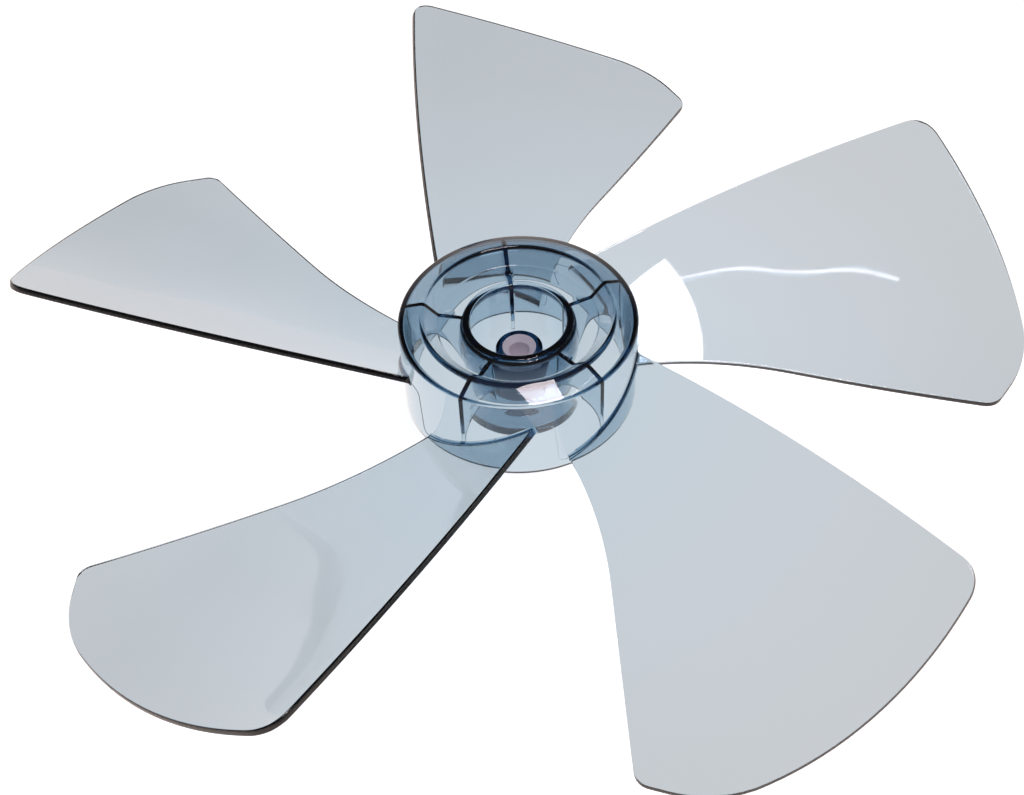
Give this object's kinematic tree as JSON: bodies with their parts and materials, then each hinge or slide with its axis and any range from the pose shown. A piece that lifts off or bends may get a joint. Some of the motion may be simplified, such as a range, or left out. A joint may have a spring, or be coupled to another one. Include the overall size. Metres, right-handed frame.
{
  "type": "axial fan impeller",
  "caption": "Transparent axial fan impeller moulded in one piece: wide cambered blades that twist out of a ribbed cup hub with a recessed shaft bush.",
  "frame": {"origin": "on the axis of rotation, where the shaft's drive pin seats: the lower end of the bush's full round bore, 6 mm in front of the hub's rear rim", "axes": "+Z along the axis of rotation, out of the front of the hub; +X and +Y square to it, with one blade's middle line 14 degrees from +X towards +Y"},
  "size_m": [0.3911, 0.3836, 0.0451],
  "materials": {
    "impeller": "gloss",
    "shaft_bush": "satin"
  },
  "bodies": {
    "root": {"impeller": "impeller", "shaft_bush": "shaft_bush"}
  },
  "joints": []
}
